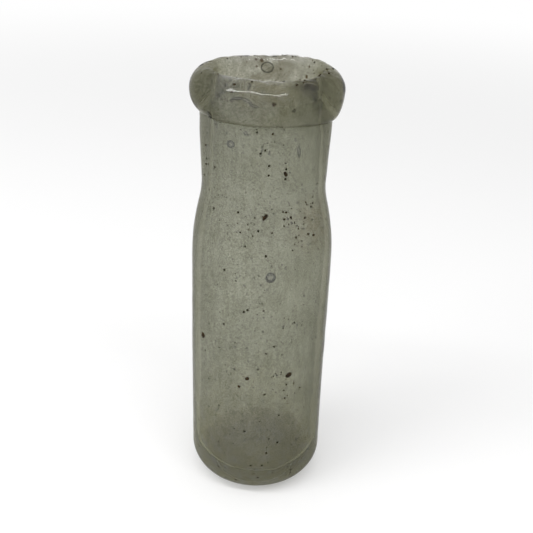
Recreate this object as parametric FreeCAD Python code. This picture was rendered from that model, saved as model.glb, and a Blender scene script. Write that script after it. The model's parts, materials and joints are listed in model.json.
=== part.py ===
import FreeCAD
import Part
import math
import os

# A mouth-blown glass bottle, open at the top, standing on +Z with its base at the origin.
# It is two pieces of glass: the blown body, and the lip ring that is laid on hot round the
# sheared end of the neck and lapped over it. Both are turned about the Z axis.

# Driving dimensions, in millimetres
bottle_height = 170.0      # base to the crown of the lip
body_radius = 27.0         # outside of the straight wall
wall = 3.2                 # thickness of the body, the shoulder and the foot of the neck

heel_radius = 12.0         # rounding between the wall and the base, outside
inner_heel_radius = 9.0    # the same, inside
base_thickness = 7.0       # bearing ring up to the edge of the inner floor
bearing_width = 3.5        # flat ring that the bottle stands on
push_up_height = 3.0       # hollow pressed into the base
floor_rise = 2.0           # how far the push-up lifts the middle of the inner floor

shoulder_start = 98.0      # height where the straight wall ends
neck_start = 129.0         # height where the neck begins
neck_radius = 23.1         # outside of the neck at its foot
shoulder_round_share = 0.75  # share of the shoulder's curve that swells out, the rest is hollow

lip_height = 14.8          # lower edge of the lip ring to its crown
lip_radius = 27.8          # widest part of the lip ring
lip_seat_radius = 24.1     # end of the neck, where the lip ring is laid on
lip_lap = 9.0              # glass of the lip ring above the sheared end of the neck
crown_radius = 7.0         # rounding of the lip's outer top
bore_radius = 18.6         # mouth

# Places that follow from them
inner_radius = body_radius - wall
lip_bottom = bottle_height - lip_height
lip_widest = bottle_height - crown_radius
neck_end = bottle_height - lip_lap
crown_line_radius = lip_radius - crown_radius
mouth_round = crown_line_radius - bore_radius
mouth_bottom = bottle_height - mouth_round


def point(place):
    """A point of the half section, given as (radius, height)."""
    radius, height = place
    return FreeCAD.Vector(radius, 0, height)


def line(start, end):
    """A straight edge of the half section."""
    return Part.LineSegment(point(start), point(end)).toShape()


def arc(centre, radius, start_angle, end_angle):
    """A round edge of the half section, with angles in radians from the +radius direction."""

    def on_arc(angle):
        return point((centre[0] + radius * math.cos(angle), centre[1] + radius * math.sin(angle)))

    middle_angle = (start_angle + end_angle) / 2
    return Part.Arc(on_arc(start_angle), on_arc(middle_angle), on_arc(end_angle)).toShape()


def dome(edge_radius, edge_height, rise):
    """A shallow cap from its crown on the axis out to its edge, which lies rise below the crown."""
    cap_radius = (edge_radius**2 + rise**2) / (2 * rise)
    centre = (0, edge_height + rise - cap_radius)
    edge_angle = math.atan2(edge_height - centre[1], edge_radius)
    return arc(centre, cap_radius, math.pi / 2, edge_angle)


def shoulder(offset):
    """The two tangent arcs of the shoulder, from the body up to the neck, offset inwards."""
    rise = neck_start - shoulder_start
    step = body_radius - neck_radius
    turn = 2 * math.atan2(step, rise)
    both_radii = (rise**2 + step**2) / (2 * step)
    round_radius = both_radii * shoulder_round_share
    hollow_radius = both_radii - round_radius
    swell = arc((body_radius - round_radius, shoulder_start), round_radius - offset, 0, turn)
    hollow = arc(
        (neck_radius + hollow_radius, neck_start), hollow_radius + offset, math.pi + turn, math.pi
    )
    return [swell, hollow]


def turned(edges):
    """The solid that a closed half section sweeps out about the Z axis."""
    section = Part.Face(Part.Wire(Part.__sortEdges__(edges)))
    return section.revolve(FreeCAD.Vector(0, 0, 0), FreeCAD.Vector(0, 0, 1), 360)


def inner_wall():
    """The inside of the body, from the middle of the floor up to the sheared end of the neck."""
    floor_edge = inner_radius - inner_heel_radius
    heel_top = base_thickness + inner_heel_radius
    return [
        dome(floor_edge, base_thickness, floor_rise),
        arc((floor_edge, heel_top), inner_heel_radius, -math.pi / 2, 0),
        line((inner_radius, heel_top), (inner_radius, shoulder_start)),
        *shoulder(wall),
        line((neck_radius - wall, neck_start), (bore_radius, neck_end)),
    ]


def bottle_body():
    """The blown body: base with its push-up, rounded heel, straight wall, shoulder and neck."""
    bearing_outside = body_radius - heel_radius
    bearing_inside = bearing_outside - bearing_width
    outside = [
        dome(bearing_inside, 0, push_up_height),
        line((bearing_inside, 0), (bearing_outside, 0)),
        arc((bearing_outside, heel_radius), heel_radius, -math.pi / 2, 0),
        line((body_radius, heel_radius), (body_radius, shoulder_start)),
        *shoulder(0),
        line((neck_radius, neck_start), (lip_seat_radius, lip_bottom)),
        line((lip_seat_radius, lip_bottom), (lip_seat_radius, neck_end)),
        line((lip_seat_radius, neck_end), (bore_radius, neck_end)),
    ]
    axis = line((0, push_up_height), (0, base_thickness + floor_rise))
    return turned([*outside, *inner_wall(), axis])


def lip_ring():
    """The laid-on lip: a bead round the neck, seated on its outside and over its sheared end."""
    overhang = lip_radius - lip_seat_radius
    drop = lip_widest - lip_bottom
    under_radius = (overhang**2 + drop**2) / (2 * overhang)
    under_centre = (lip_radius - under_radius, lip_widest)
    under_angle = math.atan2(-drop, lip_seat_radius - under_centre[0])
    return turned(
        [
            line((lip_seat_radius, neck_end), (lip_seat_radius, lip_bottom)),
            arc(under_centre, under_radius, under_angle, 0),
            arc((crown_line_radius, lip_widest), crown_radius, 0, math.pi / 2),
            arc((crown_line_radius, mouth_bottom), mouth_round, math.pi / 2, math.pi),
            line((bore_radius, mouth_bottom), (bore_radius, neck_end)),
            line((bore_radius, neck_end), (lip_seat_radius, neck_end)),
        ]
    )


def brimful_capacity():
    """The volume in cubic millimetres that the bottle holds up to the bottom of the mouth's rounding."""
    outline = [
        *inner_wall(),
        line((bore_radius, neck_end), (bore_radius, mouth_bottom)),
        line((bore_radius, mouth_bottom), (0, mouth_bottom)),
        line((0, mouth_bottom), (0, base_thickness + floor_rise)),
    ]
    return turned(outline).Volume


def main():
    """Writes each piece to its own file and prints what it measures."""
    os.makedirs("parts", exist_ok=True)
    for name, piece in (("bottle_body", bottle_body()), ("lip_ring", lip_ring())):
        piece.exportStep(f"parts/{name}.step")
        print(name, "valid", piece.isValid(), "volume", round(piece.Volume), "mm3")
    print("brimful capacity", round(brimful_capacity() / 1000), "ml")


main()
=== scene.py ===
"""An old blown-glass bottle: its seedy body, its laid-on lip, the grit in its skin, and a studio."""

import json
import logging
import math
import random
from dataclasses import dataclass
from enum import Enum
from typing import NamedTuple

import bmesh
import bpy
from mathutils import Matrix, Vector, noise

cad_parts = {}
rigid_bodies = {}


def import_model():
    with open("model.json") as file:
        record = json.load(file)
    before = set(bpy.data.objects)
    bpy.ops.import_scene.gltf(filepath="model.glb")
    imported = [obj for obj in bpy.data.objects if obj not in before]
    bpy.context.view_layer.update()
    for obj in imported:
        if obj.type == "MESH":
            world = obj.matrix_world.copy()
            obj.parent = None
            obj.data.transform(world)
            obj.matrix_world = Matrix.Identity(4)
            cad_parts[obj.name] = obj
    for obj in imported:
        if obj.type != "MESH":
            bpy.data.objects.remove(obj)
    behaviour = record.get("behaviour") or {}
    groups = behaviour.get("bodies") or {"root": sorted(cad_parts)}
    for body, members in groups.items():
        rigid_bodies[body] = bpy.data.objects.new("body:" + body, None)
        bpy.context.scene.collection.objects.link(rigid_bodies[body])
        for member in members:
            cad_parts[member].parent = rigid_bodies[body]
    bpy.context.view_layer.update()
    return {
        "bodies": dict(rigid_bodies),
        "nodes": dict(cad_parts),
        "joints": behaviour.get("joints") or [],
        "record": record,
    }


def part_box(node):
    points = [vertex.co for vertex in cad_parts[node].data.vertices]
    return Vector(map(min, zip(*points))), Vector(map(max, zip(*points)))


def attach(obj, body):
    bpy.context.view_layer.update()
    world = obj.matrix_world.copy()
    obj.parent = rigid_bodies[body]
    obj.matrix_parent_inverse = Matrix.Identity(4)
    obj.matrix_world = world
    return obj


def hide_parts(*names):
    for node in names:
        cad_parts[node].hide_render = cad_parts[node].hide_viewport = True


log = logging.getLogger("bottle")

MM = 0.001
PER_MM = 1000.0
QUARTER = math.pi / 2.0
SHARP_ANGLE = math.radians(40.0)
AXIS_RADIUS = 4.0 * MM
MERGE_DISTANCE = 0.001 * MM
BODY = "root"
SIDE_ATTRIBUTE = "glass_side"
Triple = tuple[float, float, float]
Colour = Triple
Socket = bpy.types.NodeSocket


class GlassSide(Enum):
    """Which face of the glass a point lies on. The wall of a bubble has a number above INSIDE."""

    JOINT = -1.0
    OUTSIDE = 0.0
    INSIDE = 1.0


class Span(NamedTuple):
    """A range of values from low to high, and the results at its two ends."""

    low: float
    high: float
    start: float = 0.0
    end: float = 1.0


def polar(angle: float, radius: float, height: float) -> Vector:
    """A point given by its angle about the bottle's axis in degrees, its radius and its height."""
    turn = math.radians(angle)
    return Vector((radius * math.cos(turn), radius * math.sin(turn), height))


def angle_of(place: Vector) -> float:
    """The angle of a point about the bottle's axis, in degrees."""
    return math.degrees(math.atan2(place.y, place.x))


def ramp(value: float, low: float, high: float) -> float:
    """A smooth step from 0 at low to 1 at high."""
    share = min(1.0, max(0.0, (value - low) / (high - low)))
    return share * share * (3.0 - 2.0 * share)


@dataclass(frozen=True)
class Wave:
    """Unevenness: how far the glass strays, over what length, and how much it is drawn out upwards.

    Waves with different starts don't follow one another.
    """

    amount: float
    length: float
    upright: float = 1.0
    start: Triple = (0.0, 0.0, 0.0)

    def at(self, place: Vector) -> float:
        """How far the glass strays at a place.

        Args:
            place: the place.

        Returns:
            The distance, either way.
        """
        drawn = place + Vector(self.start)
        drawn.z /= self.upright
        return self.amount * noise.noise(drawn / self.length)


@dataclass(frozen=True)
class Swell:
    """A smooth swell round the axis: how much it adds, its middle angle and its width in degrees."""

    amount: float
    middle: float
    width: float

    def at(self, angle: float) -> float:
        """What the swell adds at an angle."""
        apart = (angle - self.middle + 180.0) % 360.0 - 180.0
        return self.amount * math.exp(-((apart / self.width) ** 2))


def push_out(vert: bmesh.types.BMVert, distance: float) -> None:
    """Moves a point straight out from the bottle's axis, and less where it is almost on the axis.

    Args:
        vert: the point.
        distance: how far it moves.
    """
    share = distance / max(math.hypot(vert.co.x, vert.co.y), AXIS_RADIUS)
    vert.co.x += vert.co.x * share
    vert.co.y += vert.co.y * share


@dataclass(frozen=True)
class Spot:
    """A bubble in the glass or a crumb on it, placed by its angle in degrees and its height.

    Tilt turns it in the wall and lean tips it back, in degrees. Strength is how plainly a bubble's clear
    fill and its painted dark ring show.
    """

    angle: float
    height: float
    width: float
    length: float
    tilt: float = 0.0
    lean: float = 0.0
    strength: float = 1.0

    def place(self, radius: float, depth: float) -> Matrix:
        """Frames a unit ball as this spot.

        Args:
            radius: distance of the spot's middle from the axis.
            depth: thickness of the spot, out of the wall.

        Returns:
            The matrix, with X along the wall, Y up it and Z out of it before the spot leans back.
        """
        upright = Matrix.Rotation(QUARTER, 4, "X")
        facing = Matrix.Rotation(math.radians(self.angle + 90.0), 4, "Z") @ upright
        leaning = Matrix.Rotation(math.radians(-self.lean), 4, "X")
        tilted = Matrix.Rotation(math.radians(self.tilt), 4, "Z")
        size = Matrix.Diagonal((self.width / 2.0, self.length / 2.0, depth / 2.0, 1.0))
        middle = Matrix.Translation(polar(self.angle, radius, self.height))
        return middle @ facing @ leaning @ tilted @ size


class HalfSection:
    """Half of a turned outline: a chain of edges in the XZ plane, with X as the radius."""

    def __init__(self, radius: float, height: float, side: GlassSide) -> None:
        """Starts the chain.

        Args:
            radius: distance of the first point from the axis.
            height: height of the first point.
            side: face of the glass that the first point lies on.
        """
        self.mesh = bmesh.new()
        self.side_layer = self.mesh.verts.layers.float.new(SIDE_ATTRIBUTE)
        self.tip = self.mesh.verts.new((radius, 0.0, height))
        self.tip[self.side_layer] = side.value

    def line_to(self, radius: float, height: float, side: GlassSide, parts: int) -> None:
        """Draws a straight stretch.

        Args:
            radius: distance of the end from the axis.
            height: height of the end.
            side: face of the glass that the stretch lies on.
            parts: number of equal edges in the stretch.
        """
        before = set(self.mesh.verts)
        start = self.tip.co.copy()
        end = Vector((radius, 0.0, height))
        for part in range(parts):
            made = bmesh.ops.extrude_vert_indiv(self.mesh, verts=[self.tip])
            self.tip = made["verts"][0]
            self.tip.co = start.lerp(end, (part + 1) / parts)
        self._mark(before, side)

    def arc(self, centre: tuple[float, float], turn: float, side: GlassSide, parts: int) -> None:
        """Draws a round stretch from the tip.

        Args:
            centre: radius and height of the arc's centre.
            turn: angle in radians, anticlockwise as the section is drawn.
            side: face of the glass that the stretch lies on.
            parts: number of equal edges in the stretch.
        """
        before = set(self.mesh.verts)
        made = bmesh.ops.spin(
            self.mesh,
            geom=[self.tip],
            cent=(centre[0], 0.0, centre[1]),
            axis=(0.0, -1.0, 0.0),
            angle=turn,
            steps=parts,
            use_duplicate=False,
        )
        self.tip = next(item for item in made["geom_last"] if isinstance(item, bmesh.types.BMVert))
        self._mark(before, side)

    def cap_to_axis(self, rise: float, side: GlassSide, parts: int) -> None:
        """Draws a shallow cap from the tip to the axis.

        Args:
            rise: how far the middle of the cap lies above the tip.
            side: face of the glass that the cap lies on.
            parts: number of edges in the cap.
        """
        edge_radius, edge_height = self.tip.co.x, self.tip.co.z
        cap_radius = (edge_radius**2 + rise**2) / (2.0 * rise)
        centre = (0.0, edge_height + rise - cap_radius)
        turn = math.atan2(edge_radius, edge_height - centre[1])
        self.arc(centre, turn, side, parts)

    def turned(self, parts: int) -> bmesh.types.BMesh:
        """Sweeps the chain once round the axis.

        Args:
            parts: number of steps in the full turn.

        Returns:
            The closed mesh, with its poles merged and its faces pointing out of the glass.
        """
        bmesh.ops.spin(
            self.mesh,
            geom=[*self.mesh.verts, *self.mesh.edges],
            cent=(0.0, 0.0, 0.0),
            axis=(0.0, 0.0, 1.0),
            angle=math.tau,
            steps=parts,
            use_merge=True,
            use_duplicate=False,
        )
        bmesh.ops.remove_doubles(self.mesh, verts=self.mesh.verts, dist=MERGE_DISTANCE)
        bmesh.ops.recalc_face_normals(self.mesh, faces=self.mesh.faces)
        return self.mesh

    def _mark(self, before: set[bmesh.types.BMVert], side: GlassSide) -> None:
        """Writes the face of the glass on the points that a stretch has added."""
        for vert in set(self.mesh.verts) - before:
            vert[self.side_layer] = side.value


class NodePen:
    """Draws shader nodes in one tree, each call giving the socket that carries its result."""

    def __init__(self, tree: bpy.types.NodeTree) -> None:
        """Takes the tree to draw in."""
        self.tree = tree

    def put(self, target: Socket, value: Socket | float | Colour) -> None:
        """Links a socket to another, or sets it to a plain value.

        Args:
            target: socket to feed.
            value: a socket, a number, a place or a colour.
        """
        if isinstance(value, Socket):
            self.tree.links.new(value, target)
        elif target.type == "RGBA":
            target.default_value = (*value, 1.0)
        else:
            target.default_value = value

    def place(self) -> Socket:
        """The point's place on the piece."""
        return self.tree.nodes.new("ShaderNodeTexCoord").outputs["Object"]

    def maths(self, operation: str, first: Socket | float, second: Socket | float = 0.0) -> Socket:
        """One sum of two values.

        Args:
            operation: the kind of sum.
            first: its first value.
            second: its second value.

        Returns:
            The result's socket, held between 0 and 1.
        """
        node = self.tree.nodes.new("ShaderNodeMath")
        node.operation = operation
        node.use_clamp = True
        self.put(node.inputs[0], first)
        self.put(node.inputs[1], second)
        return node.outputs[0]

    def span(self, value: Socket, over: Span) -> Socket:
        """A value carried smoothly over a range to its results, and held between them.

        Args:
            value: the value to carry over.
            over: the range and its results.

        Returns:
            The result's socket.
        """
        node = self.tree.nodes.new("ShaderNodeMapRange")
        node.interpolation_type = "SMOOTHSTEP"
        self.put(node.inputs["Value"], value)
        for name, number in zip(("From Min", "From Max", "To Min", "To Max"), over):
            node.inputs[name].default_value = number
        return node.outputs["Result"]

    def mix(self, share: Socket | float, first: Socket | Colour, second: Socket | Colour) -> Socket:
        """One colour laid over another.

        Args:
            share: how much of the second colour shows, from 0 to 1.
            first: the colour below.
            second: the colour above.

        Returns:
            The mixed colour's socket.
        """
        node = self.tree.nodes.new("ShaderNodeMix")
        node.data_type = "RGBA"
        self.put(node.inputs[0], share)
        self.put(node.inputs[6], first)
        self.put(node.inputs[7], second)
        return node.outputs[2]

    def stretched(self, place: Socket, factors: Triple) -> Socket:
        """A place scaled along each axis.

        Args:
            place: the place.
            factors: the scale along X, Y and Z.

        Returns:
            The scaled place's socket.
        """
        node = self.tree.nodes.new("ShaderNodeVectorMath")
        node.operation = "MULTIPLY"
        self.put(node.inputs[0], place)
        self.put(node.inputs[1], factors)
        return node.outputs["Vector"]

    def height(self, place: Socket) -> Socket:
        """The height of a place.

        Args:
            place: the place.

        Returns:
            The height's socket.
        """
        node = self.tree.nodes.new("ShaderNodeSeparateXYZ")
        self.put(node.inputs[0], place)
        return node.outputs["Z"]

    def away(self, place: Socket, middle: Vector) -> Socket:
        """The distance of a place from a fixed point.

        Args:
            place: the place.
            middle: the fixed point.

        Returns:
            The distance's socket.
        """
        node = self.tree.nodes.new("ShaderNodeVectorMath")
        node.operation = "DISTANCE"
        self.put(node.inputs[0], place)
        node.inputs[1].default_value = middle
        return node.outputs["Value"]

    def grain(self, place: Socket, scale: Socket | float, detail: float, rough: float = 0.55) -> Socket:
        """Smooth noise.

        Args:
            place: the place to read it at.
            scale: number of lumps to the metre.
            detail: number of finer layers.
            rough: how strong each finer layer is.

        Returns:
            The noise's socket, from 0 to 1.
        """
        node = self.tree.nodes.new("ShaderNodeTexNoise")
        self.put(node.inputs["Vector"], place)
        self.put(node.inputs["Scale"], scale)
        node.inputs["Detail"].default_value = detail
        node.inputs["Roughness"].default_value = rough
        return node.outputs["Fac"]


class Effect:
    """Shader node groups that both kinds of glass share, each built once."""

    CLOUDS = Span(0.36, 0.64, 0.0, 0.27)
    WIPES = Span(0.38, 0.64, 0.0, 0.16)
    WIPE_STRETCH = (1.0, 1.0, 0.1)
    FINE_GRAIN = Span(0.45, 0.55, 0.0, 0.72)
    # Painted light on the film: the side towards the soft box, where grain shows most and haze least.
    LIT_SIDE = Vector((-0.2, -0.08, 0.1))
    GRAIN_FADES_FROM_LIT_SIDE = Span(0.19, 0.24, 1.0, 0.45)
    HAZE_GROWS_FROM_LIT_SIDE = Span(0.19, 0.24, 0.0, 0.2)
    DOT_EDGE = Span(0.98, 0.6)
    WAVE_STRETCH = (1.0, 1.0, 0.6)
    SHRIVEL_SHARE = 0.3

    @staticmethod
    def new_group(name: str, inputs: dict[str, float], output: str) -> bpy.types.NodeTree:
        """Starts a group that reads a place and some numbers.

        Args:
            name: name of the group.
            inputs: its number inputs, with their usual values.
            output: name of the value that it puts out.

        Returns:
            The group's node tree, with its two end nodes.
        """
        tree = bpy.data.node_groups.new(name, "ShaderNodeTree")
        tree.interface.new_socket("Place", in_out="INPUT", socket_type="NodeSocketVector")
        for label, value in inputs.items():
            made = tree.interface.new_socket(label, in_out="INPUT", socket_type="NodeSocketFloat")
            made.default_value = value
        tree.interface.new_socket(output, in_out="OUTPUT", socket_type="NodeSocketFloat")
        tree.nodes.new("NodeGroupInput").name = "in"
        tree.nodes.new("NodeGroupOutput").name = "out"
        return tree

    @staticmethod
    def use(pen: NodePen, name: str, place: Socket, **inputs: float) -> Socket:
        """Places a group in a material.

        Args:
            pen: pen of the material.
            name: name of the group.
            place: place that it reads.
            inputs: its numbers, with _ for a space in a name.

        Returns:
            The socket of the value that the group puts out.
        """
        node = pen.tree.nodes.new("ShaderNodeGroup")
        node.node_tree = bpy.data.node_groups[name]
        pen.put(node.inputs["Place"], place)
        for label, value in inputs.items():
            node.inputs[label.replace("_", " ")].default_value = value
        return node.outputs[0]

    @classmethod
    def build_film(cls) -> None:
        """Dried film: soft clouds and wipes that run up the wall, with painted light: its grain is
        strongest on the side towards the soft box, and its haze grows lighter away from it.
        """
        scales = {"Cloud Scale": 60.0, "Wipe Scale": 420.0, "Grain Scale": 1900.0}
        tree = cls.new_group("dried_film", scales, "Film")
        pen = NodePen(tree)
        source = tree.nodes["in"].outputs
        place = source["Place"]
        soft = pen.grain(place, source["Cloud Scale"], detail=8.0, rough=0.68)
        wiped = pen.grain(pen.stretched(place, cls.WIPE_STRETCH), source["Wipe Scale"], detail=4.0)
        fine = pen.grain(place, source["Grain Scale"], detail=3.0, rough=0.75)
        # Painted light: grain and haze change with the distance from the side towards the soft box.
        side = pen.away(place, cls.LIT_SIDE)
        clouds = pen.maths("ADD", pen.span(soft, cls.CLOUDS), pen.span(wiped, cls.WIPES))
        smooth = pen.maths("ADD", clouds, pen.span(side, cls.HAZE_GROWS_FROM_LIT_SIDE))
        grain = pen.maths("MULTIPLY", pen.span(fine, cls.FINE_GRAIN), pen.span(side, cls.GRAIN_FADES_FROM_LIT_SIDE))
        pen.put(tree.nodes["out"].inputs["Film"], pen.maths("ADD", smooth, grain))

    @classmethod
    def build_pits(cls) -> None:
        """Small pits and specks: a dot in some of the cells of the skin, each of its own size."""
        tree = cls.new_group("pitted_skin", {"Cells": 300.0, "Size": 0.2, "Cover": 0.3}, "Pits")
        pen = NodePen(tree)
        source = tree.nodes["in"].outputs
        cells = tree.nodes.new("ShaderNodeTexVoronoi")
        pen.put(cells.inputs["Vector"], source["Place"])
        pen.put(cells.inputs["Scale"], source["Cells"])
        parts = tree.nodes.new("ShaderNodeSeparateColor")
        pen.put(parts.inputs[0], cells.outputs["Color"])
        chosen = pen.maths("LESS_THAN", parts.outputs["Red"], source["Cover"])
        size = pen.maths("MULTIPLY", parts.outputs["Green"], source["Size"])
        dot = pen.span(pen.maths("DIVIDE", cells.outputs["Distance"], size), cls.DOT_EDGE)
        pen.put(tree.nodes["out"].inputs["Pits"], pen.maths("MULTIPLY", chosen, dot))

    @classmethod
    def build_ripple(cls) -> None:
        """Height of the blown skin: slow waves and a fine shrivel."""
        scales = {"Wave Scale": 160.0, "Shrivel Scale": 620.0}
        tree = cls.new_group("blown_ripple", scales, "Height")
        pen = NodePen(tree)
        source = tree.nodes["in"].outputs
        upright = pen.stretched(source["Place"], cls.WAVE_STRETCH)
        waves = pen.grain(upright, source["Wave Scale"], detail=2.0)
        shrivel = pen.grain(source["Place"], source["Shrivel Scale"], detail=3.0)
        pen.put(tree.nodes["out"].inputs["Height"], pen.mix(cls.SHRIVEL_SHARE, waves, shrivel))

    @classmethod
    def build_all(cls) -> None:
        """Builds every group."""
        cls.build_film()
        cls.build_pits()
        cls.build_ripple()


@dataclass(frozen=True)
class Stain:
    """A stain or darker patch in the film: its middle, how far it reaches, how strong it is, and its
    colour.
    """

    middle: Vector
    reach: float
    strength: float
    colour: Colour = (0.08, 0.045, 0.015)


@dataclass(frozen=True)
class Gloss:
    """A place where the skin is fire-polished: its middle, how far it reaches, and how glossy it is."""

    middle: Vector
    reach: float
    weight: float


@dataclass(frozen=True)
class GlassFinish:
    """Aged glass: a tint at each face, a colour that deepens with thickness, and a film of soil."""

    name: str
    tint: Colour = (0.401, 0.405, 0.337)
    film: Colour = (0.84, 0.844, 0.795)
    film_share: float = 0.81
    film_rise: Span = Span(12.0 * MM, 40.0 * MM, 0.35, 1.0)
    base_film: float = 0.5
    cloud_scale: float = 60.0
    stains: tuple[Stain, ...] = ()
    stain_core: float = 0.2
    stain_lumps: float = 260.0
    stain_breaks: Span = Span(0.34, 0.58)
    silt: Colour = (0.26, 0.23, 0.11)
    silt_height: float = 0.0
    silt_fade: tuple[float, float] = (2.6 * MM, 1.4 * MM)
    silt_share: float = 0.9
    silt_lumps: float = 90.0
    silt_waver: Span = Span(0.3, 0.7, 0.0, 3.0 * MM)
    silt_spread: Span = Span(5.0 * MM, 17.0 * MM, 0.5, 1.0)
    pit: Colour = (0.02, 0.015, 0.008)
    pit_cells: float = 680.0
    speck_cells: float = 1300.0
    pit_size: float = 0.46
    pit_cover: float = 0.08
    # Painted shade: a darker colour where the glass slants away from the camera.
    painted_edge_shade: Colour = (0.25, 0.245, 0.14)
    painted_edge_shade_share: float = 0.95
    painted_edge_shade_from: float = 0.55
    seed: Colour = (0.8, 0.8, 0.76)
    # Painted shade: a dark ring round each bubble, where its wall is seen edge-on.
    painted_seed_ring_shade: Colour = (0.005, 0.005, 0.004)
    painted_seed_ring_span: Span = Span(0.03, 0.22)
    joint: Colour = (0.97, 0.97, 0.95)
    absorption_colour: Colour = (0.55, 0.55, 0.42)
    absorption_density: float = 160.0
    transmission: float = 0.86
    refraction: float = 1.07
    outside_roughness: float = 0.03
    inside_roughness: float = 0.06
    film_roughness: float = 0.06
    film_depths: tuple[float, float] = (0.2, 0.9)
    base_wear: Span = Span(20.0 * MM, 9.0 * MM, 0.0, 0.14)
    polished: tuple[Gloss, ...] = ()
    gloss_core: float = 0.6
    coat_roughness: float = 0.1
    wave_depth: float = 0.14 * MM

    def material(self) -> bpy.types.Material:
        """Builds the material.

        Returns:
            A Principled glass with an absorbing inside.
        """
        made = bpy.data.materials.new(self.name)
        made.use_nodes = True
        tree = made.node_tree
        pen = NodePen(tree)
        shader = tree.nodes["Principled BSDF"]
        shader.inputs["IOR"].default_value = self.refraction
        shader.inputs["Transmission Weight"].default_value = self.transmission
        shader.inputs["Coat Roughness"].default_value = self.coat_roughness
        place = pen.place()
        film = Effect.use(pen, "dried_film", place, Cloud_Scale=self.cloud_scale)
        pen.put(shader.inputs["Base Color"], self.colour(pen, place, film))
        pen.put(shader.inputs["Roughness"], self.roughness(pen, place, film))
        pen.put(shader.inputs["Coat Weight"], self.gloss(pen, place))
        bump = tree.nodes.new("ShaderNodeBump")
        bump.inputs["Distance"].default_value = self.wave_depth
        pen.put(bump.inputs["Height"], Effect.use(pen, "blown_ripple", place))
        pen.put(shader.inputs["Normal"], bump.outputs["Normal"])
        volume = tree.nodes.new("ShaderNodeVolumeAbsorption")
        volume.inputs["Color"].default_value = (*self.absorption_colour, 1.0)
        volume.inputs["Density"].default_value = self.absorption_density
        pen.put(tree.nodes["Material Output"].inputs["Volume"], volume.outputs["Volume"])
        return made

    def colour(self, pen: NodePen, place: Socket, film: Socket) -> Socket:
        """Mixes the colour of a face.

        Args:
            pen: pen of the material.
            place: place on the piece.
            film: the dried film.

        Returns:
            The colour: soil and pits on the tint, with painted shade where the glass slants away from
                the camera.
        """
        result = self.soiled(pen, place, film)
        if self.silt_height:
            result = self.silted(pen, place, result)
        for cells in (self.pit_cells, self.speck_cells):
            dots = {"Cells": cells, "Size": self.pit_size, "Cover": self.pit_cover}
            result = pen.mix(Effect.use(pen, "pitted_skin", place, **dots), result, self.pit)
        return self.with_painted_shade(pen, result)

    def soiled(self, pen: NodePen, place: Socket, film: Socket) -> Socket:
        """Lays the film, the stains and the darker patches on the glass's own tint.

        Args:
            pen: pen of the material.
            place: place on the piece.
            film: the dried film, which is more even towards the base.

        Returns:
            The colour of the soiled face.
        """
        above = pen.span(pen.height(place), self.film_rise)
        even = pen.mix(above, (self.base_film,) * 3, film)
        result = pen.mix(pen.maths("MULTIPLY", even, self.film_share), self.tint, self.film)
        for stain in self.stains:
            reach = Span(stain.reach, self.stain_core * stain.reach)
            near = pen.span(pen.away(place, stain.middle), reach)
            lumps = pen.grain(place, self.stain_lumps, detail=4.0, rough=0.65)
            broken = pen.maths("MULTIPLY", near, pen.span(lumps, self.stain_breaks))
            result = pen.mix(pen.maths("MULTIPLY", broken, stain.strength), result, stain.colour)
        return result

    def silted(self, pen: NodePen, place: Socket, under: Socket) -> Socket:
        """Lays silt on the inner floor, up to a wavering line and thinnest in the middle.

        Args:
            pen: pen of the material.
            place: place on the piece.
            under: colour of the face without it.

        Returns:
            The colour with the silt on it.
        """
        waver = pen.span(pen.grain(place, self.silt_lumps, detail=3.0), self.silt_waver)
        level = pen.maths("ADD", pen.height(place), waver)
        clear, full = (self.silt_height + above for above in self.silt_fade)
        depth = pen.span(level, Span(clear, full, 0.0, self.silt_share))
        off_middle = pen.away(place, Vector((0.0, 0.0, self.silt_height)))
        cover = pen.maths("MULTIPLY", depth, pen.span(off_middle, self.silt_spread))
        return pen.mix(pen.maths("MULTIPLY", cover, self.side(pen)), under, self.silt)

    def with_painted_shade(self, pen: NodePen, under: Socket) -> Socket:
        """Paints shade where the glass slants away from the camera, and clears the colour in bubbles and
        at the joint.

        Args:
            pen: pen of the material.
            under: colour of the face as seen straight on.

        Returns:
            The colour as seen, with painted shade at the edges and a painted dark ring round each
            bubble.
        """
        edge = pen.tree.nodes.new("ShaderNodeLayerWeight")
        edge.inputs["Blend"].default_value = 0.5
        facing = edge.outputs["Facing"]
        # Painted shade, strongest where a face is seen edge-on.
        slant = pen.span(facing, Span(self.painted_edge_shade_from, 1.0, 0.0, self.painted_edge_shade_share))
        result = pen.mix(slant, under, self.painted_edge_shade)
        bubble = pen.maths("SUBTRACT", self.side(pen), GlassSide.INSIDE.value)
        result = pen.mix(bubble, result, self.seed)
        # Painted shade: the dark ring where a bubble's wall is seen edge-on.
        ring = pen.maths("MULTIPLY", bubble, pen.span(facing, self.painted_seed_ring_span))
        result = pen.mix(ring, result, self.painted_seed_ring_shade)
        return pen.mix(pen.maths("SUBTRACT", 0.0, self.side(pen)), result, self.joint)

    def side(self, pen: NodePen) -> Socket:
        """The face of the glass that a point lies on.

        Args:
            pen: pen of the material.

        Returns:
            The socket of its GlassSide number.
        """
        side = pen.tree.nodes.new("ShaderNodeAttribute")
        side.attribute_name = SIDE_ATTRIBUTE
        return side.outputs["Fac"]

    def roughness(self, pen: NodePen, place: Socket, film: Socket) -> Socket:
        """Mixes the roughness of a face.

        Args:
            pen: pen of the material.
            place: place on the piece.
            film: the dried film.

        Returns:
            The roughness: least outside, more inside and under the film, and worn dull at the base.
        """
        sides = (GlassSide.OUTSIDE.value, GlassSide.INSIDE.value)
        bare = pen.span(self.side(pen), Span(*sides, self.outside_roughness, self.inside_roughness))
        dull = pen.span(film, Span(*self.film_depths, 0.0, self.film_roughness))
        worn = pen.span(pen.height(place), self.base_wear)
        return pen.maths("ADD", pen.maths("ADD", bare, dull), worn)

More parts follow.
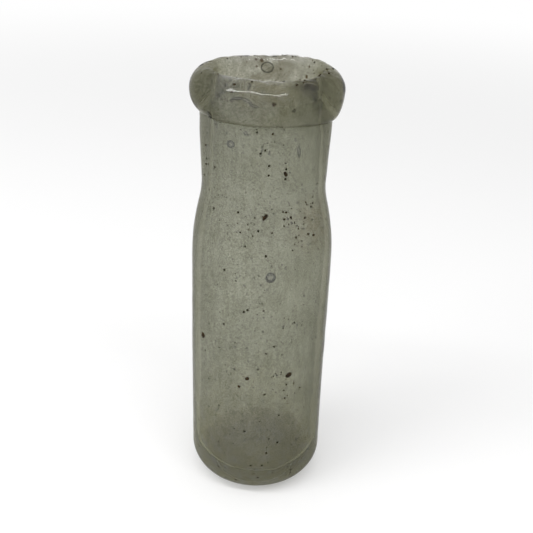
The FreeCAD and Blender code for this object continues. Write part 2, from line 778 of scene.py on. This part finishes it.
    def gloss(self, pen: NodePen, place: Socket) -> Socket | float:
        """Finds how glossy a place is.

        Args:
            pen: pen of the material.
            place: place on the piece.

        Returns:
            The weight of the clear coat, which is 0 away from the fire-polished places.
        """
        weight: Socket | float = 0.0
        for spot in self.polished:
            reach = Span(spot.reach, self.gloss_core * spot.reach, 0.0, spot.weight)
            weight = pen.maths("MAXIMUM", pen.span(pen.away(place, spot.middle), reach), weight)
        return weight


@dataclass(frozen=True)
class GritFinish:
    """Burnt grit: nearly black crumbs with brown edges."""

    name: str = "burnt_grit"
    dark: Colour = (0.01, 0.007, 0.004)
    brown: Colour = (0.045, 0.028, 0.012)
    lumps: float = 1500.0
    browning: Span = Span(0.4, 0.7)
    roughness: Span = Span(0.3, 0.7, 0.6, 0.9)
    gloss: float = 0.1
    bump_depth: float = 0.1 * MM

    def material(self) -> bpy.types.Material:
        """Builds the material.

        Returns:
            A rough Principled surface with a crumbly bump.
        """
        made = bpy.data.materials.new(self.name)
        made.use_nodes = True
        pen = NodePen(made.node_tree)
        shader = made.node_tree.nodes["Principled BSDF"]
        lumps = pen.grain(pen.place(), self.lumps, detail=3.0, rough=0.6)
        browned = pen.mix(pen.span(lumps, self.browning), self.dark, self.brown)
        pen.put(shader.inputs["Base Color"], browned)
        pen.put(shader.inputs["Roughness"], pen.span(lumps, self.roughness))
        shader.inputs["Specular IOR Level"].default_value = self.gloss
        bump = made.node_tree.nodes.new("ShaderNodeBump")
        bump.inputs["Distance"].default_value = self.bump_depth
        pen.put(bump.inputs["Height"], lumps)
        pen.put(shader.inputs["Normal"], bump.outputs["Normal"])
        return made


def finished(name: str, mesh: bmesh.types.BMesh, material: bpy.types.Material) -> bpy.types.Object:
    """Turns a modelled mesh into a piece of the bottle.

    Args:
        name: name of the piece.
        mesh: the modelled mesh, which is freed.
        material: its finish.

    Returns:
        The piece, at the origin, riding on the bottle.
    """
    data = bpy.data.meshes.new(name)
    mesh.to_mesh(data)
    mesh.free()
    data.materials.append(material)
    data.shade_smooth()
    data.set_sharp_from_angle(angle=SHARP_ANGLE)
    piece = bpy.data.objects.new(name, data)
    bpy.context.scene.collection.objects.link(piece)
    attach(piece, BODY)
    return piece


def blow_seed(mesh: bmesh.types.BMesh, frame: Matrix, strength: float = 1.0, fineness: int = 3) -> None:
    """Leaves a closed bubble in a piece of glass.

    Args:
        mesh: the glass.
        frame: place and size of the bubble.
        strength: how plainly its clear fill and its painted dark rim show, from 0 to 1.
        fineness: number of times that its ball is divided.
    """
    made = bmesh.ops.create_icosphere(mesh, subdivisions=fineness, radius=1.0, matrix=frame)
    faces = {face for vert in made["verts"] for face in vert.link_faces}
    bmesh.ops.reverse_faces(mesh, faces=list(faces))
    side_layer = mesh.verts.layers.float[SIDE_ATTRIBUTE]
    for vert in made["verts"]:
        vert[side_layer] = GlassSide.INSIDE.value + strength


@dataclass
class BottleBody:
    """The blown body: base with its push-up, heel, straight wall, shoulder and neck."""

    radius: float
    seat_radius: float
    neck_end: float
    lip_bottom: float
    bore_radius: float
    wall: float = 3.2 * MM
    heel_radius: float = 12.0 * MM
    inner_heel_radius: float = 9.0 * MM
    base_thickness: float = 7.0 * MM
    bearing_width: float = 3.5 * MM
    push_up_height: float = 3.0 * MM
    floor_rise: float = 2.0 * MM
    shoulder_start: float = 98.0 * MM
    neck_start: float = 129.0 * MM
    neck_radius: float = 23.1 * MM
    shoulder_round_share: float = 0.75
    sway: Wave = Wave(0.35 * MM, 38.0 * MM, 1.6)
    ripple: Wave = Wave(0.07 * MM, 7.0 * MM)
    wall_drift: Wave = Wave(0.45 * MM, 15.0 * MM, 2.2, (0.3, 0.1, 0.2))
    floor_drift: Wave = Wave(0.9 * MM, 9.0 * MM)
    floor_fade: tuple[float, float] = (0.6, 1.4)
    seat_clear: float = 8.0 * MM
    seat_still: float = 2.0 * MM
    bore_shift: float = 0.5 * MM
    bore_shift_start: float = 68.6 * MM
    turns: int = 224
    seed_depth: float = 2.2 * MM
    seed_depth_least: float = 0.2 * MM
    seed_depth_share: float = 0.8
    seed_cover: float = 0.15 * MM
    stray_seeds: int = 26
    stray_draw: int = 7
    stray_sizes: tuple[float, float] = (0.35 * MM, 1.0 * MM)
    stray_stretch: tuple[float, float] = (1.0, 1.9)
    stray_start: float = 19.2 * MM
    stray_lip_gap: float = 4.0 * MM
    seeds: tuple[Spot, ...] = (
        Spot(-82.1, 100.3 * MM, 3.8 * MM, 4.1 * MM),
        Spot(-121.3, 147.7 * MM, 3.0 * MM, 2.9 * MM),
        Spot(-106.8, 152.5 * MM, 1.4 * MM, 1.6 * MM),
        Spot(-136.4, 153.6 * MM, 0.8 * MM, 3.4 * MM, tilt=35.0),
        Spot(-92.5, 147.4 * MM, 0.5 * MM, 4.2 * MM, tilt=-8.0),
        Spot(-59.7, 146.1 * MM, 1.2 * MM, 4.5 * MM, tilt=5.0),
    )

    def __post_init__(self) -> None:
        """Works out the two tangent arcs of the shoulder."""
        rise = self.neck_start - self.shoulder_start
        step = self.radius - self.neck_radius
        both_radii = (rise**2 + step**2) / (2.0 * step)
        self.shoulder_turn = 2.0 * math.atan2(step, rise)
        self.swell_radius = both_radii * self.shoulder_round_share
        self.hollow_radius = both_radii - self.swell_radius

    def section(self) -> HalfSection:
        """Draws half of the body's outline, from the push-up round to the inner floor.

        Returns:
            The chain from the axis below to the axis inside.
        """
        out, inside = GlassSide.OUTSIDE, GlassSide.INSIDE
        bearing_outside = self.radius - self.heel_radius
        bearing_inside = bearing_outside - self.bearing_width
        inner_radius = self.radius - self.wall
        floor_edge = inner_radius - self.inner_heel_radius
        inner_heel_top = self.base_thickness + self.inner_heel_radius
        swell_centre = (self.radius - self.swell_radius, self.shoulder_start)
        hollow_centre = (self.neck_radius + self.hollow_radius, self.neck_start)
        cap_radius = (bearing_inside**2 + self.push_up_height**2) / (2.0 * self.push_up_height)
        cap_turn = math.asin(bearing_inside / cap_radius)

        chain = HalfSection(0.0, self.push_up_height, out)
        chain.arc((0.0, self.push_up_height - cap_radius), -cap_turn, out, parts=10)
        chain.line_to(bearing_outside, 0.0, out, parts=4)
        chain.arc((bearing_outside, self.heel_radius), QUARTER, out, parts=16)
        chain.line_to(self.radius, self.shoulder_start, out, parts=60)
        chain.arc(swell_centre, self.shoulder_turn, out, parts=16)
        chain.arc(hollow_centre, -self.shoulder_turn, out, parts=8)
        chain.line_to(self.seat_radius, self.lip_bottom, out, parts=18)
        chain.line_to(self.bore_radius, self.neck_end, GlassSide.JOINT, parts=8)
        chain.line_to(self.neck_radius - self.wall, self.neck_start, inside, parts=20)
        chain.arc(hollow_centre, self.shoulder_turn, inside, parts=8)
        chain.arc(swell_centre, -self.shoulder_turn, inside, parts=16)
        chain.line_to(inner_radius, inner_heel_top, inside, parts=56)
        chain.arc((floor_edge, inner_heel_top), -QUARTER, inside, parts=14)
        chain.cap_to_axis(self.floor_rise, inside, parts=14)
        return chain

    def outer_radius(self, height: float) -> float:
        """The radius of the wall, the shoulder or the neck outside.

        Args:
            height: height above the base, over the heel.

        Returns:
            The radius there.
        """
        if height <= self.shoulder_start:
            return self.radius
        if height >= self.neck_start:
            share = (height - self.neck_start) / (self.lip_bottom - self.neck_start)
            return self.neck_radius + share * (self.seat_radius - self.neck_radius)
        swell_end = self.shoulder_start + self.swell_radius * math.sin(self.shoulder_turn)
        if height <= swell_end:
            fall = self.swell_radius**2 - (height - self.shoulder_start) ** 2
            return self.radius - self.swell_radius + math.sqrt(fall)
        fall = self.hollow_radius**2 - (self.neck_start - height) ** 2
        return self.neck_radius + self.hollow_radius - math.sqrt(fall)

    def freedom(self, place: Vector) -> float:
        """How freely the wall strays: 1 on most of the body, and 0 just under the lip."""
        clear, still = self.lip_bottom - self.seat_clear, self.lip_bottom - self.seat_still
        return 1.0 - ramp(place.z, clear, still)

    def stray(self, place: Vector) -> float:
        """How far blown glass strays from its true radius, but not at the base or the lip's seat.

        Args:
            place: a point on the body.

        Returns:
            The distance outwards.
        """
        free = ramp(place.z, 0.0, self.heel_radius) * self.freedom(place)
        return free * (self.sway.at(place) + self.ripple.at(place))

    def wall_stray(self, place: Vector) -> float:
        """How far the inner face strays further than the outer one, as the wall's thickness varies.

        Args:
            place: a point on the inner face.

        Returns:
            The distance outwards, to which the neck adds a bore that sits off the axis.
        """
        shift = self.bore_shift * ramp(place.z, self.bore_shift_start, self.neck_start)
        shift *= math.cos(math.radians(angle_of(place)))
        return self.freedom(place) * (shift + self.wall_drift.at(place))

    def skin(self, spot: Spot) -> float:
        """The radius of the blown skin at a spot."""
        radius = self.outer_radius(spot.height)
        return radius + self.stray(polar(spot.angle, radius, spot.height))

    def hand_work(self, mesh: bmesh.types.BMesh) -> None:
        """Lets the true turned shape stray as blown glass does.

        Args:
            mesh: the turned body.
        """
        side_layer = mesh.verts.layers.float[SIDE_ATTRIBUTE]
        floor_top = self.base_thickness + self.inner_heel_radius
        fade_start, fade_end = (share * floor_top for share in self.floor_fade)
        for vert in mesh.verts:
            place = vert.co.copy()
            stray = self.stray(place)
            if vert[side_layer] == GlassSide.INSIDE.value:
                stray += self.wall_stray(place)
                sunk = 1.0 - ramp(place.z, fade_start, fade_end)
                vert.co.z += sunk * self.floor_drift.at(place)
            push_out(vert, stray)

    def strewn(self) -> list[Spot]:
        """The small bubbles all over the wall.

        Returns:
            Their places and sizes.
        """
        chance = random.Random(self.stray_draw)
        spots = []
        for _ in range(self.stray_seeds):
            size = chance.uniform(*self.stray_sizes)
            height = chance.uniform(self.stray_start, self.lip_bottom - self.stray_lip_gap)
            angle = chance.uniform(0.0, 360.0)
            spots.append(Spot(angle, height, size, size * chance.uniform(*self.stray_stretch)))
        return spots

    def blow_seeds(self, mesh: bmesh.types.BMesh) -> None:
        """Leaves bubbles under the skin, the large ones listed and the small ones strewn.

        Args:
            mesh: the body.
        """
        for spot in (*self.seeds, *self.strewn()):
            depth = min(self.seed_depth, self.seed_depth_share * spot.width + self.seed_depth_least)
            middle = self.skin(spot) - 0.5 * depth - self.seed_cover
            fineness = 3 if spot in self.seeds else 2
            blow_seed(mesh, spot.place(middle, depth), spot.strength, fineness)

    def build(self, finish: GlassFinish) -> bpy.types.Object:
        """Makes the body.

        Args:
            finish: its glass.

        Returns:
            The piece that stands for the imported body.
        """
        mesh = self.section().turned(self.turns)
        self.hand_work(mesh)
        self.blow_seeds(mesh)
        piece = finished("blown_body", mesh, finish.material())
        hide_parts("bottle_body")
        return piece


@dataclass
class LipRing:
    """The laid-on lip: a bead melted on round the neck's end, with a slanted joint between them."""

    radius: float
    seat_radius: float
    bottom: float
    top: float
    neck_end: float
    bore_radius: float
    crown_radius: float = 7.0 * MM
    seat_gap: float = 0.03 * MM
    tip_height: float = 0.1 * MM
    crest_start: float = 1.0 * MM
    crest_wave: Wave = Wave(0.45 * MM, 11.0 * MM)
    crest_shrivel: Wave = Wave(0.26 * MM, 2.3 * MM)
    back_shrivel: Swell = Swell(1.0, 85.0, 35.0)
    mouth_depth: float = 3.0 * MM
    mouth_shrivel: Wave = Wave(0.5 * MM, 2.6 * MM)
    mouth_back: Swell = Swell(1.0, 85.0, 45.0)
    bead_start: float = 1.2 * MM
    bead_wave: Wave = Wave(0.3 * MM, 8.0 * MM, start=(0.0, 0.4, 0.0))
    back_lift: Swell = Swell(1.1 * MM, 50.0, 38.0)
    back_push: Swell = Swell(1.0 * MM, 50.0, 34.0)
    left_lift: Swell = Swell(0.7 * MM, 150.0, 30.0)
    right_sag: Swell = Swell(1.8 * MM, -5.0, 42.0)
    right_swell: Swell = Swell(0.5 * MM, -5.0, 40.0)
    turns: int = 224
    seed_cover: float = 1.3 * MM
    seed_depth: float = 1.0 * MM
    crown_seed_shift: float = 2.2 * MM
    crown_seed_depth: float = 1.5 * MM
    seeds: tuple[Spot, ...] = (
        Spot(-111.5, 164.9 * MM, 4.2 * MM, 1.1 * MM, tilt=10.0),
        Spot(-104.5, 164.6 * MM, 4.4 * MM, 1.1 * MM, tilt=-22.0),
        Spot(-99.0, 163.0 * MM, 3.6 * MM, 1.0 * MM, tilt=-14.0),
        Spot(-136.3, 157.4 * MM, 0.9 * MM, 3.0 * MM, tilt=40.0),
        Spot(-70.0, 161.5 * MM, 1.2 * MM, 0.9 * MM),
        Spot(-52.0, 164.0 * MM, 0.9 * MM, 0.9 * MM),
    )
    crown_seeds: tuple[Spot, ...] = (
        Spot(-45.0, 166.6 * MM, 6.2 * MM, 5.0 * MM, lean=70.0, strength=0.35),
        Spot(90.5, 165.8 * MM, 5.0 * MM, 4.2 * MM, lean=-12.0),
    )

    def section(self) -> HalfSection:
        """Draws half of the ring's outline, from the melted joint with the neck round to it again.

        Returns:
            The closed chain.
        """
        out, joint = GlassSide.OUTSIDE, GlassSide.JOINT
        seat = self.seat_radius + self.seat_gap
        shelf = self.neck_end + 2.0 * self.seat_gap
        widest = self.top - self.crown_radius
        overhang = self.radius - seat
        drop = widest - self.bottom
        under_radius = (overhang**2 + drop**2) / (2.0 * overhang)
        under_turn = math.asin(drop / under_radius)
        crown_line = self.radius - self.crown_radius
        mouth_round = crown_line - self.bore_radius

        chain = HalfSection(self.bore_radius, shelf, joint)
        chain.line_to(seat, self.bottom + self.tip_height, joint, parts=8)
        chain.line_to(seat, self.bottom, out, parts=1)
        chain.arc((self.radius - under_radius, widest), under_turn, out, parts=16)
        chain.arc((crown_line, widest), QUARTER, out, parts=18)
        chain.arc((crown_line, self.top - mouth_round), QUARTER, out, parts=10)
        chain.line_to(self.bore_radius, shelf, out, parts=8)
        return chain

    def hand_work(self, mesh: bmesh.types.BMesh) -> None:
        """Leaves the lip as the tool left it: wavy, lifted at the back and sagging on the right.

        Args:
            mesh: the turned ring.
        """
        seat = self.seat_radius + 2.0 * self.seat_gap
        widest = self.top - self.crown_radius
        for vert in mesh.verts:
            place = vert.co.copy()
            angle = angle_of(place)
            radius = math.hypot(place.x, place.y)
            crest = ramp(place.z, self.neck_end + self.crest_start, self.top)
            under = 1.0 - ramp(place.z, self.bottom, widest)
            outer = ramp(radius, seat, seat + self.bead_start)
            inner = 1.0 - ramp(radius, self.bore_radius, self.bore_radius + self.mouth_depth)
            lift = self.back_lift.at(angle) + self.left_lift.at(angle) + self.crest_wave.at(place)
            lift += self.crest_shrivel.at(place) * (1.0 + self.back_shrivel.at(angle))
            hangs = place.z < self.bottom + 0.5 * self.tip_height or radius > seat
            sag = hangs * under * self.right_sag.at(angle)
            vert.co.z += crest * lift - sag
            push = self.bead_wave.at(place)
            push += self.back_push.at(angle) * crest + self.right_swell.at(angle) * under
            shrivel = self.mouth_shrivel.at(place) * self.mouth_back.at(angle)
            push_out(vert, outer * push + crest * inner * shrivel)

    def blow_seeds(self, mesh: bmesh.types.BMesh) -> None:
        """Leaves the folds and bubbles that the hot lip trapped.

        Args:
            mesh: the ring.
        """
        for spot in self.seeds:
            blow_seed(mesh, spot.place(self.radius - self.seed_cover, self.seed_depth), spot.strength)
        for spot in self.crown_seeds:
            middle = 0.5 * (self.bore_radius + self.radius) - self.crown_seed_shift
            blow_seed(mesh, spot.place(middle, self.crown_seed_depth), spot.strength)

    def build(self, finish: GlassFinish) -> bpy.types.Object:
        """Makes the lip.

        Args:
            finish: its glass.

        Returns:
            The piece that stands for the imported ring.
        """
        mesh = self.section().turned(self.turns)
        self.hand_work(mesh)
        self.blow_seeds(mesh)
        piece = finished("laid_on_lip", mesh, finish.material())
        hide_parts("lip_ring")
        return piece


@dataclass
class Grit:
    """Crumbs of burnt grit in the skin of the glass, large ones listed and small ones strewn.

    A cluster is placed by its angle in degrees and its height, a crumb on the lip by angle and radius.
    """

    body: BottleBody
    lip: bpy.types.Object
    depth: float = 0.75 * MM
    depth_share: float = 0.7
    ragged: float = 0.3
    ragged_lumps: float = 1.7
    crumbs: tuple[Spot, ...] = (
        Spot(-88.1, 122.9 * MM, 1.3 * MM, 3.2 * MM, tilt=-32.0),
        Spot(-142.1, 70.3 * MM, 2.2 * MM, 2.3 * MM, tilt=20.0),
        Spot(-63.7, 58.3 * MM, 2.6 * MM, 2.3 * MM, tilt=30.0),
        Spot(-98.3, 57.7 * MM, 1.8 * MM, 1.5 * MM, tilt=40.0),
        Spot(-104.8, 53.6 * MM, 1.2 * MM, 1.1 * MM),
        Spot(-71.8, 138.6 * MM, 1.3 * MM, 2.0 * MM, tilt=25.0),
        Spot(-49.2, 115.2 * MM, 1.1 * MM, 0.7 * MM, tilt=-20.0),
        Spot(-43.5, 114.2 * MM, 1.2 * MM, 0.8 * MM, tilt=-30.0),
        Spot(-69.6, 124.4 * MM, 0.9 * MM, 0.8 * MM),
        Spot(-65.4, 122.4 * MM, 0.9 * MM, 0.9 * MM),
        Spot(-71.4, 122.0 * MM, 0.9 * MM, 0.8 * MM),
        Spot(-51.0, 121.2 * MM, 0.9 * MM, 0.9 * MM),
        Spot(-42.6, 124.5 * MM, 0.8 * MM, 0.9 * MM),
        Spot(-84.1, 153.1 * MM, 0.7 * MM, 0.8 * MM),
    )
    clusters: tuple[tuple[float, float], ...] = (
        (-98.0, 120.5 * MM),
        (-66.0, 52.0 * MM),
        (-62.0, 121.0 * MM),
        (-60.0, 116.0 * MM),
        (-145.0, 136.0 * MM),
    )
    cluster_crumbs: int = 10
    cluster_draw: int = 23
    cluster_turn: float = 8.0
    cluster_rise: float = 4.5 * MM
    cluster_sizes: tuple[float, float] = (0.35 * MM, 0.75 * MM)
    cluster_stretch: tuple[float, float] = (0.8, 1.3)
    lip_crumbs: tuple[tuple[float, float], ...] = (
        (-57.0, 23.0 * MM), (-54.0, 21.0 * MM), (-30.0, 20.0 * MM), (-15.0, 22.0 * MM),
        (0.0, 20.6 * MM), (5.0, 23.5 * MM), (15.0, 19.5 * MM), (30.0, 19.0 * MM),
        (-75.0, 18.8 * MM), (-102.0, 23.3 * MM), (-115.0, 26.0 * MM), (-120.0, 20.0 * MM),
        (-159.0, 24.8 * MM), (140.0, 19.2 * MM), (62.0, 19.4 * MM), (76.0, 21.6 * MM),
        (104.0, 20.2 * MM), (121.0, 19.0 * MM), (-142.0, 21.5 * MM), (-66.0, 24.6 * MM),
        (-22.0, 18.8 * MM), (-8.0, 19.0 * MM),
    )
    lip_draw: int = 5
    lip_sizes: tuple[float, float] = (0.5 * MM, 1.1 * MM)
    lip_shape: Triple = (0.5, 0.4, 0.3)

    def strewn(self) -> list[Spot]:
        """The small crumbs round each cluster.

        Returns:
            Their places and sizes.
        """
        chance = random.Random(self.cluster_draw)
        spots = []
        for middle_angle, middle_height in self.clusters:
            for _ in range(self.cluster_crumbs):
                size = chance.uniform(*self.cluster_sizes)
                angle = chance.gauss(middle_angle, self.cluster_turn)
                height = chance.gauss(middle_height, self.cluster_rise)
                length = size * chance.uniform(*self.cluster_stretch)
                spots.append(Spot(angle, height, size, length, tilt=chance.uniform(0.0, 90.0)))
        return spots

    def lip_point(self, aim: Vector) -> bpy.types.MeshVertex:
        """The point of the lip's skin that is nearest to a place."""
        return min(self.lip.data.vertices, key=lambda vertex: (vertex.co - aim).length)

    def lip_frames(self) -> list[Matrix]:
        """The frames of the crumbs on the lip's crown, each at the nearest point of its skin.

        Returns:
            One frame for each crumb, with Z out of the glass.
        """
        chance = random.Random(self.lip_draw)
        top = max(vertex.co.z for vertex in self.lip.data.vertices)
        frames = []
        for angle, radius in self.lip_crumbs:
            near = self.lip_point(polar(angle, radius, top))
            width = chance.uniform(*self.lip_sizes)
            size = Matrix.Diagonal((*(share * width for share in self.lip_shape), 1.0))
            facing = near.normal.to_track_quat("Z", "Y").to_matrix().to_4x4()
            frames.append(Matrix.Translation(near.co) @ facing @ size)
        return frames

    def build(self, finish: GritFinish) -> bpy.types.Object:
        """Makes the crumbs, each half sunk in the skin.

        Args:
            finish: their finish.

        Returns:
            The piece.
        """
        mesh = bmesh.new()
        frames = self.lip_frames()
        for spot in (*self.crumbs, *self.strewn()):
            depth = min(self.depth, self.depth_share * spot.width)
            frames.append(spot.place(self.body.skin(spot), depth))
        for frame in frames:
            made = bmesh.ops.create_icosphere(mesh, subdivisions=2, radius=1.0)
            for vert in made["verts"]:
                lump = noise.noise(self.ragged_lumps * vert.co + PER_MM * frame.translation)
                vert.co = frame @ ((1.0 + self.ragged * lump) * vert.co)
        piece = finished("burnt_grit", mesh, finish.material())
        return piece


@dataclass(frozen=True)
class Lamp:
    """A flat lamp: its place, its length and width, its power in watts, and whether glass mirrors it."""

    name: str
    place: Triple
    size: tuple[float, float]
    power: float
    mirrored: bool

    def hang(self, aim: Vector) -> None:
        """Hangs the lamp, unseen by the camera and through the glass.

        Args:
            aim: the point that it faces.
        """
        lamp = bpy.data.lights.new(self.name, "AREA")
        lamp.shape = "RECTANGLE"
        lamp.size, lamp.size_y = self.size
        lamp.energy = self.power
        hung = bpy.data.objects.new(self.name, lamp)
        hung.location = self.place
        ahead = aim - Vector(self.place)
        hung.rotation_euler = ahead.to_track_quat("-Z", "Y").to_euler()
        hung.visible_camera = False
        hung.visible_transmission = False
        hung.visible_glossy = self.mirrored
        bpy.context.scene.collection.objects.link(hung)


@dataclass
class Studio:
    """A plain pale floor that fades to white far off, soft light from all round, and the camera."""

    floor_half: float = 4.0
    floor_colour: Colour = (0.97, 0.97, 0.97)
    floor_white_share: float = 0.3
    floor_fade: tuple[float, float] = (0.3, 1.4)
    fill_strength: float = 0.63
    lamps: tuple[Lamp, ...] = (
        Lamp("strip", (-0.08, -0.4, 0.9), (1.5, 0.1), 5.2, mirrored=True),
        Lamp("soft_box", (-1.1, -0.5, 0.6), (0.9, 0.9), 6.8, mirrored=False),
    )
    lamp_aim: Triple = (0.0, 0.0, 0.1)
    camera_back: float = 292.97 * MM
    camera_height: float = 231.87 * MM
    camera_down: float = 25.429
    camera_yaw: float = 0.416
    camera_roll: float = 2.124
    camera_near: float = 10.0 * MM
    frame_pixels: float = 533.0
    focal_pixels: float = 826.88
    sensor: float = 36.0

    def seen_directly(self, pen: NodePen) -> Socket:
        """Builds the mask of rays that show the background: those of the camera, of gloss and of glass.

        Args:
            pen: pen of the node tree to build it in.

        Returns:
            The mask's socket, 0 or 1.
        """
        path = pen.tree.nodes.new("ShaderNodeLightPath").outputs
        either = pen.maths("MAXIMUM", path["Is Camera Ray"], path["Is Glossy Ray"])
        return pen.maths("MAXIMUM", either, path["Is Transmission Ray"])

    def floor(self) -> None:
        """Makes the floor, which is stage and no part of the bottle."""
        mesh = bmesh.new()
        bmesh.ops.create_grid(mesh, x_segments=1, y_segments=1, size=self.floor_half)
        data = bpy.data.meshes.new("floor")
        mesh.to_mesh(data)
        mesh.free()
        made = bpy.data.materials.new("pale_floor")
        made.use_nodes = True
        tree = made.node_tree
        tree.nodes.remove(tree.nodes["Principled BSDF"])
        pen = NodePen(tree)
        paint = tree.nodes.new("ShaderNodeBsdfDiffuse")
        paint.inputs["Color"].default_value = (*self.floor_colour, 1.0)
        white = tree.nodes.new("ShaderNodeEmission")
        mix = tree.nodes.new("ShaderNodeMixShader")
        fade = Span(*self.floor_fade, self.floor_white_share, 1.0)
        far = pen.span(pen.away(pen.place(), Vector()), fade)
        pen.put(mix.inputs["Fac"], pen.maths("MULTIPLY", self.seen_directly(pen), far))
        pen.put(mix.inputs[1], paint.outputs["BSDF"])
        pen.put(mix.inputs[2], white.outputs["Emission"])
        pen.put(tree.nodes["Material Output"].inputs["Surface"], mix.outputs["Shader"])
        data.materials.append(made)
        floor = bpy.data.objects.new("floor", data)
        bpy.context.scene.collection.objects.link(floor)

    def world(self) -> None:
        """Sets the soft light all round, which is white where it is seen directly."""
        world = bpy.data.worlds.new("soft_box")
        bpy.context.scene.world = world
        world.use_nodes = True
        pen = NodePen(world.node_tree)
        sky = world.node_tree.nodes["Background"]
        sky.inputs["Color"].default_value = (1.0, 1.0, 1.0, 1.0)
        strength = pen.span(self.seen_directly(pen), Span(0.0, 1.0, self.fill_strength, 1.0))
        pen.put(sky.inputs["Strength"], strength)

    def camera(self) -> None:
        """Makes the scene's camera, at the photograph's viewing angle."""
        down, yaw, roll = (
            math.radians(angle) for angle in (self.camera_down, self.camera_yaw, self.camera_roll)
        )
        level_share = math.cos(down)
        ahead = Vector((math.sin(yaw) * level_share, math.cos(yaw) * level_share, -math.sin(down)))
        level = ahead.cross(Vector((0.0, 0.0, 1.0))).normalized()
        upright = level.cross(ahead)
        right = math.cos(roll) * level + math.sin(roll) * upright
        up = math.cos(roll) * upright - math.sin(roll) * level
        data = bpy.data.cameras.new("camera")
        data.sensor_width = self.sensor
        data.lens = self.sensor * self.focal_pixels / self.frame_pixels
        data.clip_start = self.camera_near
        camera = bpy.data.objects.new("camera", data)
        place = Matrix((right, up, -ahead)).transposed().to_4x4()
        place.translation = Vector((0.0, -self.camera_back, self.camera_height))
        camera.matrix_world = place
        bpy.context.scene.collection.objects.link(camera)
        bpy.context.scene.camera = camera

    def build(self) -> None:
        """Sets up the floor, the light, the camera and the plain view of colours."""
        self.floor()
        self.world()
        for lamp in self.lamps:
            lamp.hang(Vector(self.lamp_aim))
        self.camera()
        bpy.context.scene.view_settings.view_transform = "Standard"


def body_finish() -> GlassFinish:
    """Chooses the body's glass.

    Returns:
        The finish, with silt on its floor, a stain on its shoulder, and a colour that grows darker and
        warmer towards the bottom.
    """
    shoulder = Stain(polar(-38.0, 24.5 * MM, 117.0 * MM), 15.0 * MM, 0.35, (0.42, 0.34, 0.24))
    # Darker and warmer colour towards the bottom.
    low = Stain(Vector((0.0, 0.0, 8.0 * MM)), 50.0 * MM, 0.55, (0.46, 0.42, 0.16))
    return GlassFinish(name="body_glass", silt_height=10.0 * MM, stains=(shoulder, low))


def lip_finish(top: float) -> GlassFinish:
    """Chooses the lip's glass.

    Args:
        top: height of the lip's crown.

    Returns:
        The finish: thicker and more pitted, stained, darker at the back of the mouth, and fire-polished
            at the front and the back.
    """
    crown = Stain(polar(-88.0, 22.0 * MM, 170.0 * MM), 18.0 * MM, 0.6, (0.4, 0.35, 0.19))
    left = Stain(polar(172.0, 25.5 * MM, 167.0 * MM), 13.0 * MM, 0.4, (0.16, 0.1, 0.04))
    # Darker and greyer at the back of the mouth.
    back = Stain(polar(90.0, 20.0 * MM, 165.0 * MM), 20.0 * MM, 0.85, (0.3, 0.28, 0.22))
    mouth = Stain(polar(-12.0, 21.0 * MM, 169.0 * MM), 11.0 * MM, 0.85)
    rim = Stain(polar(-38.0, 18.6 * MM, 168.0 * MM), 7.0 * MM, 0.8)
    front_gloss = Gloss(polar(-104.0, 24.0 * MM, top), 16.0 * MM, 0.8)
    back_gloss = Gloss(polar(88.0, 20.0 * MM, top), 20.0 * MM, 1.0)
    return GlassFinish(
        name="lip_glass",
        tint=(0.28, 0.28, 0.235),
        film=(1.0, 0.995, 0.965),
        film_share=0.89,
        cloud_scale=150.0,
        stains=(crown, left, back, mouth, rim),
        pit=(0.06, 0.035, 0.015),
        pit_cells=430.0,
        pit_cover=0.18,
        # Painted shade towards the lip's edges as seen.
        painted_edge_shade=(0.17, 0.16, 0.075),
        painted_edge_shade_from=0.27,
        absorption_density=122.0,
        transmission=0.95,
        outside_roughness=0.02,
        inside_roughness=0.05,
        film_roughness=0.03,
        polished=(front_gloss, back_gloss),
        wave_depth=0.15 * MM,
    )


def main() -> None:
    """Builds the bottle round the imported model, then the studio."""
    logging.basicConfig(level=logging.INFO, format="%(name)s %(message)s")
    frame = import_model()
    _, body_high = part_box("bottle_body")
    lip_low, lip_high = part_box("lip_ring")
    mouth = next(mount for mount in frame["record"]["mounts"] if mount["name"] == "mouth")
    bore_radius = mouth["dims"]["r_mm"] * MM
    seat_radius = 24.1 * MM

    Effect.build_all()
    body = BottleBody(
        radius=body_high.x,
        seat_radius=seat_radius,
        neck_end=body_high.z,
        lip_bottom=lip_low.z,
        bore_radius=bore_radius,
    )
    lip = LipRing(
        radius=lip_high.x,
        seat_radius=seat_radius,
        bottom=lip_low.z,
        top=lip_high.z,
        neck_end=body_high.z,
        bore_radius=bore_radius,
    )
    body_piece = body.build(body_finish())
    lip_piece = lip.build(lip_finish(lip_high.z))
    grit_piece = Grit(body, lip_piece).build(GritFinish())
    for piece in (body_piece, lip_piece, grit_piece):
        log.info("%s: %d faces", piece.name, len(piece.data.polygons))
    Studio().build()


if __name__ == "__main__":
    main()
